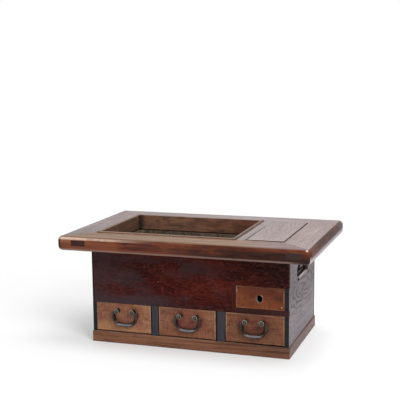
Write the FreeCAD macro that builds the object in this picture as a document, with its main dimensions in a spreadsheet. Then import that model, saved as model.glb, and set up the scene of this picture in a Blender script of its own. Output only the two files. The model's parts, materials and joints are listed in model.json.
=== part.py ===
"""Long brazier chest (naga-hibachi) with a wide table rim, drawers and a lift-out copper liner.

Millimetres. X runs along the length, -Y is the drawer side, +Z is up, the floor is Z = 0
and the body stands centred on X = 0 and Y = 0.
"""
import math
import os

import FreeCAD
import Part
import Sketcher

V = FreeCAD.Vector
doc = FreeCAD.newDocument("long_brazier")
sheet = doc.addObject("Spreadsheet::Sheet", "sizes")
NODES = []
NEAR = 0.001
bail_sides = 14
eye_sides = 12
head_sides = 16
boss_sides = 10
rosette_sides = 12


class Size:
    """A length that keeps its number together with the sheet formula it comes from."""

    def __init__(self, number, formula):
        self.number = number
        self.formula = formula

    def join(self, sign, other, number):
        return Size(number, "(" + self.formula + " " + sign + " " + formula_of(other) + ")")

    def __add__(self, other):
        return self.join("+", other, self.number + number_of(other))

    def __sub__(self, other):
        return self.join("-", other, self.number - number_of(other))

    def __mul__(self, other):
        return self.join("*", other, self.number * number_of(other))

    def __truediv__(self, other):
        return self.join("/", other, self.number / number_of(other))

    def __neg__(self):
        return Size(-self.number, "(0 - " + self.formula + ")")

    def root(self):
        return Size(math.sqrt(self.number), "sqrt(" + self.formula + ")")


def number_of(value):
    """The plain number of a size or of a number."""
    return value.number if isinstance(value, Size) else float(value)


def formula_of(value):
    """The formula of a size, or a number written out."""
    return value.formula if isinstance(value, Size) else "(" + repr(float(value)) + ")"


def size(name, number):
    """Write one size in the sheet under its name."""
    sheet.set("A" + str(size.row), name)
    sheet.set("B" + str(size.row), str(number))
    sheet.setAlias("B" + str(size.row), name)
    size.row += 1
    return Size(float(number), "sizes." + name)


size.row = 1

# Body
body_width = size("body_width", 600)
body_depth = size("body_depth", 343.5)
panel_thick = size("panel_thick", 13)
back_thick = size("back_thick", 12)
deck_thick = size("deck_thick", 15)
partition_thick = size("partition_thick", 12.5)
well_floor_thick = size("well_floor_thick", 10)
bottom_thick = size("bottom_thick", 12)
cleat_width = size("cleat_width", 30)
cleat_thick = size("cleat_thick", 12)
cleat_inset = size("cleat_inset", 120)

# Plinth
plinth_height = size("plinth_height", 32.6)
plinth_proud_side = size("plinth_proud_side", 2.5)
plinth_proud_front = size("plinth_proud_front", 2.1)
plinth_thick = size("plinth_thick", 20)
plinth_bevel = size("plinth_bevel", 1.6)

# Table rim
table_height = size("table_height", 329.1)
table_thick = size("table_thick", 42.6)
overhang_side = size("overhang_side", 77)
overhang_front = size("overhang_front", 70.7)
nose_radius = size("nose_radius", 14)
corner_radius = size("corner_radius", 15)
tenon_width = size("tenon_width", 43.6)
tenon_height = size("tenon_height", 17)
tenon_raise = size("tenon_raise", 15.8)
tenon_left_inset = size("tenon_left_inset", 46.6)
tenon_right_inset = size("tenon_right_inset", 27.1)

# Hearth mouth and its lining
hearth_inset_left = size("hearth_inset_left", 22.6)
hearth_inset_right = size("hearth_inset_right", 2.3)
hearth_inset_front = size("hearth_inset_front", 11.65)
hearth_inset_back = size("hearth_inset_back", 14.75)
lining_width = size("lining_width", 10.2)
lining_proud = size("lining_proud", 3)
lining_round = size("lining_round", 1.5)

# Lid over the well
lid_inset_left = size("lid_inset_left", 23.7)
lid_inset_right = size("lid_inset_right", 8.5)
lid_inset_front = size("lid_inset_front", 10.25)
lid_inset_back = size("lid_inset_back", 2.25)
lid_thick = size("lid_thick", 15)
lid_proud = size("lid_proud", 1.5)
lid_gap_narrow = size("lid_gap_narrow", 0.5)
lid_gap_wide = size("lid_gap_wide", 4.2)
lid_ledge = size("lid_ledge", 8)
batten_width = size("batten_width", 24)
batten_thick = size("batten_thick", 10)
batten_gap = size("batten_gap", 2)
batten_inset = size("batten_inset", 45)

# Drawer openings and drawers
drawer_bay_height = size("drawer_bay_height", 89.4)
front_panel_drop = size("front_panel_drop", 84.5)
left_bay_width = size("left_bay_width", 173.1)
right_bay_width = size("right_bay_width", 172.2)
small_bay_width = size("small_bay_width", 140.9)
post_left_width = size("post_left_width", 24.8)
post_right_width = size("post_right_width", 29.3)
post_depth = size("post_depth", 20)
drawer_gap = size("drawer_gap", 0.7)
front_raise = size("front_raise", 4.4)
small_front_raise = size("small_front_raise", 1)
front_thick = size("front_thick", 12)
box_wall = size("box_wall", 8)
box_bottom = size("box_bottom", 6)
box_bottom_raise = size("box_bottom_raise", 5)
box_groove = size("box_groove", 4)
box_drop = size("box_drop", 9)
box_end_space = size("box_end_space", 12)
guide_height = size("guide_height", 18)
guide_gap = size("guide_gap", 0.7)

# Finger hole of the small drawer
finger_shift = size("finger_shift", -2)
finger_drop = size("finger_drop", 3)
finger_width = size("finger_width", 16.4)
finger_height = size("finger_height", 21.4)
finger_round = size("finger_round", 8.1)
finger_bevel = size("finger_bevel", 2)

# Hand holes of the side panels: a round lobe towards the front with a slot behind it
hand_drop = size("hand_drop", 81.5)
hand_slot_height = size("hand_slot_height", 20)
hand_slot_reach = size("hand_slot_reach", 73)
hand_slot_round = size("hand_slot_round", 9)
hand_lobe_place = size("hand_lobe_place", 49)
hand_lobe_radius = size("hand_lobe_radius", 25)
hand_lobe_rise = size("hand_lobe_rise", 17)
hand_bevel = size("hand_bevel", 6)

# Copper liner
liner_side_gap = size("liner_side_gap", 1.5)
liner_top_gap = size("liner_top_gap", 2.5)
liner_wall = size("liner_wall", 1.5)
liner_corner = size("liner_corner", 16)
liner_rim_height = size("liner_rim_height", 6)
liner_rim_proud = size("liner_rim_proud", 2.5)
liner_rim_round = size("liner_rim_round", 2.4)

# Bail handles
handle_rise = size("handle_rise", 22.2)
handle_shift_one = size("handle_shift_one", 6)
handle_shift_two = size("handle_shift_two", 4)
handle_shift_three = size("handle_shift_three", -1.3)
post_offset = size("post_offset", 24.3)
pin_stand = size("pin_stand", 6.7)
stem_radius = size("stem_radius", 4.2)
head_radius = size("head_radius", 8.2)
head_back = size("head_back", 4.6)
head_thick = size("head_thick", 3)
head_rim_width = size("head_rim_width", 1.8)
head_step = size("head_step", 0.8)
head_dish = size("head_dish", 1)
boss_radius = size("boss_radius", 3)
shank_width = size("shank_width", 3.6)
leg_length = size("leg_length", 16)
leg_thick = size("leg_thick", 1.6)
rosette_radius = size("rosette_radius", 8)
rosette_thick = size("rosette_thick", 1)
pin_radius = size("pin_radius", 2.3)
pin_running_gap = size("pin_running_gap", 0.1)
pin_start = size("pin_start", 19)
pin_end = size("pin_end", 31)
bail_half = size("bail_half", 37.7)
bail_drop = size("bail_drop", 41.2)
bail_middle_radius = size("bail_middle_radius", 5.8)
bail_side_radius = size("bail_side_radius", 4.5)
doc.recompute()

# Positions that follow from the sizes
left = -body_width / 2
right = body_width / 2
front = -body_depth / 2
back = body_depth / 2
inner_left = left + panel_thick
inner_right = right - panel_thick
inner_front = front + panel_thick
inner_back = back - back_thick
table_bottom = table_height - table_thick
table_x = right + overhang_side
table_y = back + overhang_front
drawer_top_line = plinth_height + drawer_bay_height
deck_top = drawer_top_line + deck_thick
small_top_line = table_bottom - front_panel_drop
post_left_start = inner_left + left_bay_width
post_left_end = post_left_start + post_left_width
post_right_end = inner_right - right_bay_width
post_right_start = post_right_end - post_right_width
small_opening_left = inner_right - small_bay_width
partition_left = small_opening_left - partition_thick
hearth_left = left + hearth_inset_left
hearth_right = partition_left - hearth_inset_right
hearth_front = inner_front + hearth_inset_front
hearth_back = inner_back - hearth_inset_back
lining_left = hearth_left - lining_width
lining_right = hearth_right + lining_width
lining_front = hearth_front - lining_width
lining_back = hearth_back + lining_width
lid_left = small_opening_left + lid_inset_left
lid_right = inner_right - lid_inset_right
lid_front = inner_front + lid_inset_front
lid_back = inner_back - lid_inset_back
lid_top = table_height + lid_proud
mouth_left = lid_left - lid_gap_narrow
mouth_right = lid_right + lid_gap_wide
mouth_front = lid_front - lid_gap_wide
mouth_back = lid_back + lid_gap_narrow
well_left = mouth_left + lid_ledge
well_right = mouth_right - lid_ledge
well_front = mouth_front + lid_ledge
well_back = mouth_back - lid_ledge
ledge_level = lid_top - lid_thick
tenon_bottom = table_bottom + tenon_raise
tenon_left_start = tenon_left_inset - table_x
tenon_right_start = table_x - tenon_right_inset - tenon_width
hand_bottom = table_bottom - hand_drop
hand_top = hand_bottom + hand_slot_height
hand_lobe_level = hand_bottom + hand_lobe_rise
handle_height = (plinth_height + drawer_top_line) / 2 + handle_rise
finger_x = (small_opening_left + inner_right) / 2 + finger_shift
finger_z = (deck_top + small_top_line) / 2 - finger_drop
plinth_x = right + plinth_proud_side
plinth_y = back + plinth_proud_front
zero = body_width * 0


def bind(obj, prop, value):
    """Bind one property of an object to a size."""
    obj.setExpression(prop, formula_of(value))


def place(obj, x, y, z):
    """Bind the position of an object."""
    obj.Placement = FreeCAD.Placement(V(number_of(x), number_of(y), number_of(z)), FreeCAD.Rotation())
    bind(obj, ".Placement.Base.x", x)
    bind(obj, ".Placement.Base.y", y)
    bind(obj, ".Placement.Base.z", z)


def named(kind, label):
    """Add an object of a kind and label it."""
    obj = doc.addObject(kind, label)
    obj.Label = label
    return obj


def box(label, x0, x1, y0, y1, z0, z1):
    """A straight board between two corners."""
    obj = named("Part::Box", label)
    bind(obj, "Length", x1 - x0)
    bind(obj, "Width", y1 - y0)
    bind(obj, "Height", z1 - z0)
    place(obj, x0, y0, z0)
    return obj


def node(obj):
    """Mark an object as one named piece of the chest."""
    NODES.append(obj)
    return obj


def several(label, kind, objects):
    """A fusion or a compound of several objects."""
    obj = named(kind, label)
    if kind == "Part::Compound":
        obj.Links = objects
    else:
        obj.Shapes = objects
    return obj


def cut(label, base, tools):
    """A base with one or more tools taken away."""
    obj = named("Part::Cut", label)
    obj.Base = base
    obj.Tool = tools[0] if len(tools) == 1 else several(label + "_tools", "Part::MultiFuse", tools)
    return obj


def common(label, base, tool):
    """The part of a base inside a tool."""
    obj = named("Part::Common", label)
    obj.Base = base
    obj.Tool = tool
    return obj


def plane_of(body, role):
    """An origin plane of a body, found by its role."""
    for feature in body.Origin.OriginFeatures:
        if feature.Role == role:
            return feature
    raise RuntimeError("no plane " + role)


def arc_centre(start, end, radius, side):
    """The centre of the arc between two points that bulges to the right or left of its chord."""
    chord = end - start
    half = chord.Length / 2
    rise = math.sqrt(radius * radius - half * half)
    normal = V(-chord.y, chord.x, 0).normalize()
    return (start + end) * 0.5 + normal * (rise * side)


def sketch(body, label, role, offset, points, arcs=None):
    """A closed outline on an origin plane, every corner bound to the sheet.

    arcs maps an edge number to (radius, side): side 1 puts the centre left of the edge.
    """
    arcs = arcs or {}
    sk = body.newObject("Sketcher::SketchObject", label)
    sk.AttachmentSupport = (plane_of(body, role), [""])
    sk.MapMode = "FlatFace"
    bind(sk, ".AttachmentOffset.Base.z", offset)
    places = [V(number_of(x), number_of(y), 0) for x, y in points]
    count = len(places)
    ends = []
    for i in range(count):
        start = places[i]
        end = places[(i + 1) % count]
        if i not in arcs:
            sk.addGeometry(Part.LineSegment(start, end), False)
            ends.append((1, 2))
            continue
        radius, side = arcs[i]
        centre = arc_centre(start, end, number_of(radius), side)
        first, last = (start, end) if side > 0 else (end, start)
        circle = Part.Circle(centre, V(0, 0, 1), number_of(radius))
        angle_first = math.atan2(first.y - centre.y, first.x - centre.x)
        angle_last = math.atan2(last.y - centre.y, last.x - centre.x)
        if angle_last < angle_first:
            angle_last += 2 * math.pi
        sk.addGeometry(Part.ArcOfCircle(circle, angle_first, angle_last), False)
        ends.append((1, 2) if side > 0 else (2, 1))
    for i in range(count):
        other = (i + 1) % count
        sk.addConstraint(Sketcher.Constraint("Coincident", i, ends[i][1], other, ends[other][0]))
    for i in range(count):
        for kind, value in (("DistanceX", points[i][0]), ("DistanceY", points[i][1])):
            number = number_of(value)
            if abs(number) < NEAR:
                axis = -2 if kind == "DistanceX" else -1
                sk.addConstraint(Sketcher.Constraint("PointOnObject", i, ends[i][0], axis))
                continue
            index = sk.addConstraint(Sketcher.Constraint(kind, -1, 1, i, ends[i][0], number))
            bind(sk, "Constraints[" + str(index) + "]", value)
    for i in arcs:
        index = sk.addConstraint(Sketcher.Constraint("Radius", i, number_of(arcs[i][0])))
        bind(sk, "Constraints[" + str(index) + "]", arcs[i][0])
    return sk


def pad(body, profile, length):
    """Raise a sketch along its plane's normal."""
    feature = body.newObject("PartDesign::Pad", profile.Label + "_pad")
    feature.Profile = profile
    bind(feature, "Length", length)
    profile.Visibility = False
    doc.recompute()
    return feature


def pocket(body, profile, length):
    """Sink a sketch against its plane's normal, checking that material is removed."""
    before = body.Shape.Volume
    feature = body.newObject("PartDesign::Pocket", profile.Label + "_pocket")
    feature.Profile = profile
    bind(feature, "Length", length)
    doc.recompute()
    if body.Shape.Volume > before - NEAR:
        raise RuntimeError(profile.Label + " removes nothing")
    return feature


def edges_where(shape, test):
    """Names of the edges of a shape that pass a test."""
    names = []
    for index, edge in enumerate(shape.Edges, 1):
        if test(edge):
            names.append("Edge" + str(index))
    if not names:
        raise RuntimeError("no edge found")
    return names


def dress(body, kind, label, prop, value, test):
    """Round or bevel the edges of a body that pass a test."""
    base = body.Tip
    names = edges_where(base.Shape, test)
    feature = body.newObject("PartDesign::" + kind, label)
    feature.Base = (base, names)
    bind(feature, prop, value)
    doc.recompute()
    return feature


def upright(edge):
    """True for a straight edge along Z."""
    a = edge.Vertexes[0].Point
    b = edge.Vertexes[-1].Point
    return abs(a.x - b.x) < NEAR and abs(a.y - b.y) < NEAR and abs(a.z - b.z) > NEAR


def level(edge, z):
    """True for an edge that lies at one height."""
    return all(abs(v.Point.z - number_of(z)) < NEAR for v in edge.Vertexes)


def rectangle(x0, x1, y0, y1):
    """Corner points of a rectangle."""
    return [(x0, y0), (x1, y0), (x1, y1), (x0, y1)]


def prism(label, points, z0, z1):
    """A body with a straight-sided plan between two heights."""
    body = named("PartDesign::Body", label)
    pad(body, sketch(body, label + "_plan", "XY_Plane", z0, points), z1 - z0)
    return body


# Table rim: one rounded blank with its openings, then parted into mitred boards
table = named("PartDesign::Body", "table_blank")
plan = sketch(table, "table_plan", "XY_Plane", table_bottom, rectangle(-table_x, table_x, -table_y, table_y))
pad(table, plan, table_thick)
dress(table, "Fillet", "table_corners", "Radius", corner_radius, upright)
dress(table, "Fillet", "table_nose", "Radius", nose_radius,
      lambda e: level(e, table_height) or level(e, table_bottom))
mouth = sketch(table, "hearth_mouth", "XY_Plane", table_height,
               rectangle(lining_left, lining_right, lining_front, lining_back))
pocket(table, mouth, table_thick)
rebate = sketch(table, "lid_rebate", "XY_Plane", table_height,
                rectangle(mouth_left, mouth_right, mouth_front, mouth_back))
pocket(table, rebate, table_height - ledge_level)
well = sketch(table, "well_mouth", "XY_Plane", table_height,
              rectangle(well_left, well_right, well_front, well_back))
pocket(table, well, table_thick)

reach_x = table_x
reach_y = table_y
front_plan = [(-reach_x, -reach_y), (reach_x, -reach_y), (mouth_right, mouth_front), (well_right, well_front),
              (well_left, well_front), (well_left, mouth_front), (mouth_left, mouth_front),
              (mouth_left, lining_front), (lining_left, lining_front)]
back_plan = [(reach_x, reach_y), (-reach_x, reach_y), (lining_left, lining_back), (mouth_left, lining_back),
             (mouth_left, mouth_back), (well_left, mouth_back), (well_left, well_back),
             (well_right, well_back), (mouth_right, mouth_back)]
left_plan = [(-reach_x, -reach_y), (lining_left, lining_front), (lining_left, lining_back), (-reach_x, reach_y)]
right_plan = [(reach_x, -reach_y), (reach_x, reach_y), (mouth_right, mouth_back), (well_right, well_back),
              (well_right, well_front), (mouth_right, mouth_front)]
divider_plan = [(lining_right, lining_front), (mouth_left, lining_front), (mouth_left, mouth_front),
                (well_left, mouth_front), (well_left, mouth_back), (mouth_left, mouth_back),
                (mouth_left, lining_back), (lining_right, lining_back)]


def rail(label, points):
    """One board of the table rim."""
    tool = prism(label + "_plan_tool", points, table_bottom, table_height)
    return common(label, table, tool)


tenon_depth = reach_y - overhang_front
tenon_left_box = box("tenon_left_box", tenon_left_start, tenon_left_start + tenon_width,
                     -reach_y, -tenon_depth, tenon_bottom, tenon_bottom + tenon_height)
tenon_right_box = box("tenon_right_box", tenon_right_start, tenon_right_start + tenon_width,
                      -reach_y, -tenon_depth, tenon_bottom, tenon_bottom + tenon_height)
tenon_left = common("tenon_left", table, tenon_left_box)
tenon_right = common("tenon_right", table, tenon_right_box)
node(cut("table_front_rail", rail("front_rail_whole", front_plan), [tenon_left_box, tenon_right_box]))
node(rail("table_back_rail", back_plan))
node(several("table_left_rail", "Part::MultiFuse", [rail("left_rail_board", left_plan), tenon_left]))
node(several("table_right_rail", "Part::MultiFuse", [rail("right_rail_board", right_plan), tenon_right]))
node(rail("table_divider_rail", divider_plan))

# Hearth lining: a mitred ring of thin strips that stands proud of the table
lining = named("PartDesign::Body", "lining_blank")
lining_plan = sketch(lining, "lining_plan", "XY_Plane", table_bottom,
                     rectangle(lining_left, lining_right, lining_front, lining_back))
pad(lining, lining_plan, table_thick + lining_proud)
lining_hole = sketch(lining, "lining_hole", "XY_Plane", table_height + lining_proud,
                     rectangle(hearth_left, hearth_right, hearth_front, hearth_back))
pocket(lining, lining_hole, table_thick + lining_proud)
dress(lining, "Fillet", "lining_edges", "Radius", lining_round, lambda e: level(e, table_height + lining_proud))


def ring_plans(x0, x1, y0, y1, u0, u1, v0, v1):
    """Mitred plans of a ring: front, back, left and right."""
    return {"front": [(x0, y0), (x1, y0), (u1, v0), (u0, v0)],
            "back": [(x1, y1), (x0, y1), (u0, v1), (u1, v1)],
            "left": [(x0, y0), (u0, v0), (u0, v1), (x0, y1)],
            "right": [(x1, y0), (x1, y1), (u1, v1), (u1, v0)]}


lining_plans = ring_plans(lining_left, lining_right, lining_front, lining_back,
                          hearth_left, hearth_right, hearth_front, hearth_back)
for side in ("front", "back", "left", "right"):
    tool = prism("lining_tool_" + side, lining_plans[side], table_bottom, table_height + lining_proud)
    node(common("hearth_lining_" + side, lining, tool))

# Lid of the well, with two battens under it
node(box("lid_board", lid_left, lid_right, lid_front, lid_back, ledge_level, lid_top))
battens = []
for label, y in (("front", well_front + batten_inset), ("back", well_back - batten_inset - batten_width)):
    battens.append(box("lid_batten_" + label, well_left + batten_gap, well_right - batten_gap,
                       y, y + batten_width, ledge_level - batten_thick, ledge_level))
node(several("lid_battens", "Part::Compound", battens))

# Copper liner: a thin tray with a half-round rim
liner_left = hearth_left + liner_side_gap + liner_rim_proud
liner_right = hearth_right - liner_side_gap - liner_rim_proud
liner_front = hearth_front + liner_side_gap + liner_rim_proud
liner_back = hearth_back - liner_side_gap - liner_rim_proud
liner_top = table_bottom - liner_top_gap
liner = named("PartDesign::Body", "liner_blank")
liner_plan = sketch(liner, "liner_plan", "XY_Plane", deck_top,
                    rectangle(liner_left, liner_right, liner_front, liner_back))
pad(liner, liner_plan, liner_top - deck_top)
dress(liner, "Fillet", "liner_corners", "Radius", liner_corner, upright)
rim_plan = sketch(liner, "liner_rim_plan", "XY_Plane", liner_top - liner_rim_height,
                  rectangle(liner_left - liner_rim_proud, liner_right + liner_rim_proud,
                            liner_front - liner_rim_proud, liner_back + liner_rim_proud))
pad(liner, rim_plan, liner_rim_height)
dress(liner, "Fillet", "liner_rim_corners", "Radius", liner_corner,
      lambda e: upright(e) and e.Vertexes[0].Point.z > number_of(liner_top - liner_rim_height) - NEAR
      and e.Vertexes[-1].Point.z > number_of(liner_top - liner_rim_height) - NEAR)
dress(liner, "Fillet", "liner_rim_round", "Radius", liner_rim_round, lambda e: level(e, liner_top))
hollow = prism("liner_hollow", rectangle(liner_left + liner_wall, liner_right - liner_wall,
                                         liner_front + liner_wall, liner_back - liner_wall),
               deck_top + liner_wall, liner_top)
dress(hollow, "Fillet", "liner_inner_corners", "Radius", liner_corner - liner_wall, upright)
node(cut("copper_liner", liner, [hollow]))

# Side panels, with the notches for the front panel and rail, and the hand holes
back_profile = [(front, plinth_height), (back, plinth_height), (back, table_bottom), (inner_front, table_bottom)]
left_profile = back_profile + [(inner_front, drawer_top_line), (front, drawer_top_line)]
right_profile = back_profile + [(inner_front, small_top_line), (front, small_top_line), (front, deck_top),
                                (inner_front, deck_top), (inner_front, drawer_top_line),
                                (front, drawer_top_line)]


def side_panel(label, start, profile, outer):
    """A side panel with its hand hole: two arcs of the lobe, then the slot with rounded ends."""
    body = named("PartDesign::Body", label)
    pad(body, sketch(body, label + "_profile", "YZ_Plane", start, profile), panel_thick)
    square = hand_lobe_radius * hand_lobe_radius
    reach_low = (square - hand_lobe_rise * hand_lobe_rise).root()
    rise_high = hand_slot_height - hand_lobe_rise
    reach_high = (square - rise_high * rise_high).root()
    points = [(reach_low - hand_lobe_place, hand_bottom), (hand_slot_reach - hand_slot_round, hand_bottom),
              (hand_slot_reach, hand_bottom + hand_slot_round), (hand_slot_reach, hand_top - hand_slot_round),
              (hand_slot_reach - hand_slot_round, hand_top), (reach_high - hand_lobe_place, hand_top),
              (-hand_lobe_place - hand_lobe_radius, hand_lobe_level)]
    arcs = {1: (hand_slot_round, 1), 3: (hand_slot_round, 1), 5: (hand_lobe_radius, 1),
            6: (hand_lobe_radius, 1)}
    hole = sketch(body, label + "_hole", "YZ_Plane", start + panel_thick, points, arcs)
    pocket(body, hole, panel_thick)
    dress(body, "Chamfer", label + "_bevel", "Size", hand_bevel,
          lambda e: level(e, hand_bottom) and all(abs(v.Point.x - number_of(outer)) < NEAR
                                                  for v in e.Vertexes))
    return body


node(side_panel("left_side_panel", left, left_profile, left))
node(side_panel("right_side_panel", inner_right, right_profile, right))

# Back, front, rail, deck, partitions and floor of the body
node(box("back_panel", inner_left, inner_right, inner_back, back, plinth_height, table_bottom))
front_panel = named("PartDesign::Body", "front_panel")
front_outline = [(left, drawer_top_line), (partition_left, drawer_top_line), (partition_left, small_top_line),
                 (right, small_top_line), (right, table_bottom), (left, table_bottom)]
pad(front_panel, sketch(front_panel, "front_outline", "XZ_Plane", -inner_front, front_outline), panel_thick)
node(front_panel)
node(box("mid_rail", small_opening_left, right, front, inner_front, drawer_top_line, deck_top))
node(box("deck_board", inner_left, inner_right, inner_front, inner_back, drawer_top_line, deck_top))
partition = named("PartDesign::Body", "hearth_partition")
partition_profile = [(front, drawer_top_line), (inner_front, drawer_top_line), (inner_front, deck_top),
                     (inner_back, deck_top), (inner_back, table_bottom), (inner_front, table_bottom),
                     (inner_front, small_top_line), (front, small_top_line)]
pad(partition, sketch(partition, "partition_profile", "YZ_Plane", partition_left, partition_profile),
    partition_thick)
node(partition)
node(box("well_floor", small_opening_left, inner_right, inner_front, inner_back,
         small_top_line, small_top_line + well_floor_thick))
post_back = front + post_depth
guides = []
for label, start, end in (("left", post_left_start, post_left_end), ("right", post_right_start, post_right_end)):
    node(box("drawer_post_" + label, start, end, front, post_back, plinth_height, drawer_top_line))
    middle = (start + end) / 2
    wall_left = middle - partition_thick / 2
    wall_right = middle + partition_thick / 2
    node(box("drawer_partition_" + label, wall_left, wall_right, post_back, inner_back,
             plinth_height, drawer_top_line))
    guides.append(box("guide_" + label + "_a", start, wall_left, post_back, inner_back,
                      plinth_height, plinth_height + guide_height))
    guides.append(box("guide_" + label + "_b", wall_right, end, post_back, inner_back,
                      plinth_height, plinth_height + guide_height))
node(several("drawer_guide_strips", "Part::Compound", guides))

# Plinth ring with the bottom board and its cleats inside
plinth = named("PartDesign::Body", "plinth_blank")
pad(plinth, sketch(plinth, "plinth_plan", "XY_Plane", zero,
                   rectangle(-plinth_x, plinth_x, -plinth_y, plinth_y)), plinth_height)
dress(plinth, "Chamfer", "plinth_top_bevel", "Size", plinth_bevel, lambda e: level(e, plinth_height))
ring_x = plinth_x - plinth_thick
ring_y = plinth_y - plinth_thick
pocket(plinth, sketch(plinth, "plinth_hole", "XY_Plane", plinth_height,
                      rectangle(-ring_x, ring_x, -ring_y, ring_y)), plinth_height)
plinth_plans = ring_plans(-plinth_x, plinth_x, -plinth_y, plinth_y, -ring_x, ring_x, -ring_y, ring_y)
for side in ("front", "back", "left", "right"):
    tool = prism("plinth_tool_" + side, plinth_plans[side], zero, plinth_height)
    node(common("plinth_" + side, plinth, tool))
bottom_level = plinth_height - bottom_thick
node(box("bottom_board", -ring_x, ring_x, -ring_y, ring_y, bottom_level, plinth_height))
cleats = []
for label, x in (("left", left + cleat_inset), ("right", right - cleat_inset)):
    cleats.append(box("cleat_" + label, x - cleat_width / 2, x + cleat_width / 2, -ring_y, ring_y,
                      bottom_level - cleat_thick, bottom_level))
node(several("bottom_cleats", "Part::Compound", cleats))

# Handle posts: a many-sided stem with a stepped, dished head, a rosette, a square shank and bent legs,
# made once about the pivot
def polygon(label, sides, radius, x, y, z, axis, angle):
    """A many-sided section, turned about one axis."""
    obj = named("Part::RegularPolygon", label)
    obj.Polygon = sides
    bind(obj, "Circumradius", radius)
    obj.Placement = FreeCAD.Placement(V(0, 0, 0), FreeCAD.Rotation(axis, angle))
    bind(obj, ".Placement.Base.x", x)
    bind(obj, ".Placement.Base.y", y)
    bind(obj, ".Placement.Base.z", z)
    return obj


def faceted(label, sections):
    """A solid with flat-sided stretches between its sections."""
    obj = named("Part::Loft", label)
    obj.Sections = sections
    obj.Solid = True
    obj.Ruled = True
    return obj


def bar(label, sides, radius, start, end, axis=V(1, 0, 0), angle=-90):
    """A many-sided prism, along the Y axis unless it is turned another way."""
    obj = named("Part::Prism", label)
    obj.Polygon = sides
    bind(obj, "Circumradius", radius)
    bind(obj, "Height", end - start)
    obj.Placement = FreeCAD.Placement(V(0, 0, 0), FreeCAD.Rotation(axis, angle))
    bind(obj, ".Placement.Base.x" if axis.y else ".Placement.Base.y", start)
    return obj


shank_end = pin_stand + front_thick
head_front = -head_back - head_thick
ring_radius = head_radius - head_step
rosette = bar("rosette", rosette_sides, rosette_radius, pin_stand - rosette_thick, pin_stand)
head_disc = bar("head_disc", head_sides, head_radius, head_front + head_step, -head_back)
head_ring = bar("head_ring", head_sides, ring_radius, head_front, -head_back)
head_hollow = bar("head_hollow", head_sides, ring_radius - head_rim_width, head_front, head_front + head_dish)
head_boss = bar("head_boss", boss_sides, boss_radius, head_front, -head_back)
stem = bar("stem", eye_sides, stem_radius, -head_back, pin_stand)
shank = box("post_shank", -shank_width / 2, shank_width / 2, pin_stand, shank_end,
            -shank_width / 2, shank_width / 2)
legs = box("post_legs", -leg_length / 2, leg_length / 2, shank_end, shank_end + leg_thick,
           -shank_width / 2, shank_width / 2)
head_rings = several("head_rings", "Part::MultiFuse", [head_disc, head_ring])
head_dished = cut("head_dished", head_rings, [head_hollow])
post_solid = several("post_with_rosette", "Part::MultiFuse", [head_dished, head_boss, stem, rosette, shank, legs])
hole_circle = (pin_radius + pin_running_gap) / math.cos(math.pi / bail_sides)
eye_hole = bar("eye_hole", bail_sides, hole_circle, -stem_radius * 2, stem_radius * 2, V(0, 1, 0), 90)
post_right = cut("post_right", post_solid, [eye_hole])
place(post_right, post_offset, zero, zero)
post_left = named("Part::Mirroring", "post_left")
post_left.Source = post_right
post_left.Normal = V(1, 0, 0)

# Bail: a many-sided bar that swells from its pins to the middle, turned step by step along its bend
bend = bail_half - pin_end
sweep_radius = bail_drop - bend
flat_end = bail_half - sweep_radius
SHOULDER_STEPS = 3
BOW_STEPS = 5
FULLNESS = 0.84
QUARTER = 90.0
stations = [(pin_start, zero, pin_radius, QUARTER)]
for step in range(SHOULDER_STEPS + 1):
    share = step / SHOULDER_STEPS
    angle = QUARTER * (1 + share)
    stations.append((pin_end - bend * math.cos(math.radians(angle)),
                     bend * math.sin(math.radians(angle)) - bend,
                     pin_radius + (bail_side_radius - pin_radius) * share, angle))
for step in range(1, BOW_STEPS + 1):
    share = step / BOW_STEPS
    swing = math.radians(QUARTER * share)
    rise_part = math.sin(swing) ** FULLNESS
    reach_part = math.cos(swing) ** FULLNESS if step < BOW_STEPS else 0.0
    lean = QUARTER
    if step < BOW_STEPS:
        lean = math.degrees(math.atan(math.tan(swing) ** (2 - FULLNESS)))
    stations.append((flat_end + sweep_radius * reach_part, -bend - sweep_radius * rise_part,
                     bail_side_radius + (bail_middle_radius - bail_side_radius) * share, QUARTER * 2 + lean))
stations += [(-x, z, radius, 6 * QUARTER - angle) for x, z, radius, angle in reversed(stations)]
bail_whole = faceted("bail_whole", [polygon("bail_section_" + str(i), bail_sides, radius, x, zero, z,
                                            V(0, 1, 0), angle)
                                    for i, (x, z, radius, angle) in enumerate(stations)])


# Drawers
def drawer_box(label, x0, x1, floor_z, top_z, raise_z, holes):
    """Front, sides, back and bottom of one drawer; the sides run on the board below."""
    gap_left = x0 + drawer_gap
    gap_right = x1 - drawer_gap
    wall_front = front + front_thick
    wall_back = inner_back - box_end_space
    wall_top = top_z - box_drop
    left_in = gap_left + box_wall
    right_in = gap_right - box_wall
    back_in = wall_back - box_wall
    base_z = floor_z + box_bottom_raise
    bottom = box(label + "_bottom", left_in - box_groove, right_in + box_groove, wall_front - box_groove,
                 back_in + box_groove, base_z, base_z + box_bottom)
    front_board = box(label + "_front_board", gap_left, gap_right, front, wall_front,
                      floor_z + raise_z, top_z - drawer_gap)
    node(cut(label + "_front", front_board, [bottom] + holes))
    walls = (("_left_side", gap_left, left_in, wall_front, wall_back),
             ("_right_side", right_in, gap_right, wall_front, wall_back),
             ("_back", left_in, right_in, back_in, wall_back))
    for part, u0, u1, v0, v1 in walls:
        board = box(label + part + "_board", u0, u1, v0, v1, floor_z, wall_top)
        node(cut(label + part, board, [bottom]))
    node(bottom)


def shank_hole(label, x):
    """A square hole through a drawer front for one handle post."""
    return box(label, x - shank_width / 2, x + shank_width / 2, front, front + front_thick,
               handle_height - shank_width / 2, handle_height + shank_width / 2)


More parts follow.
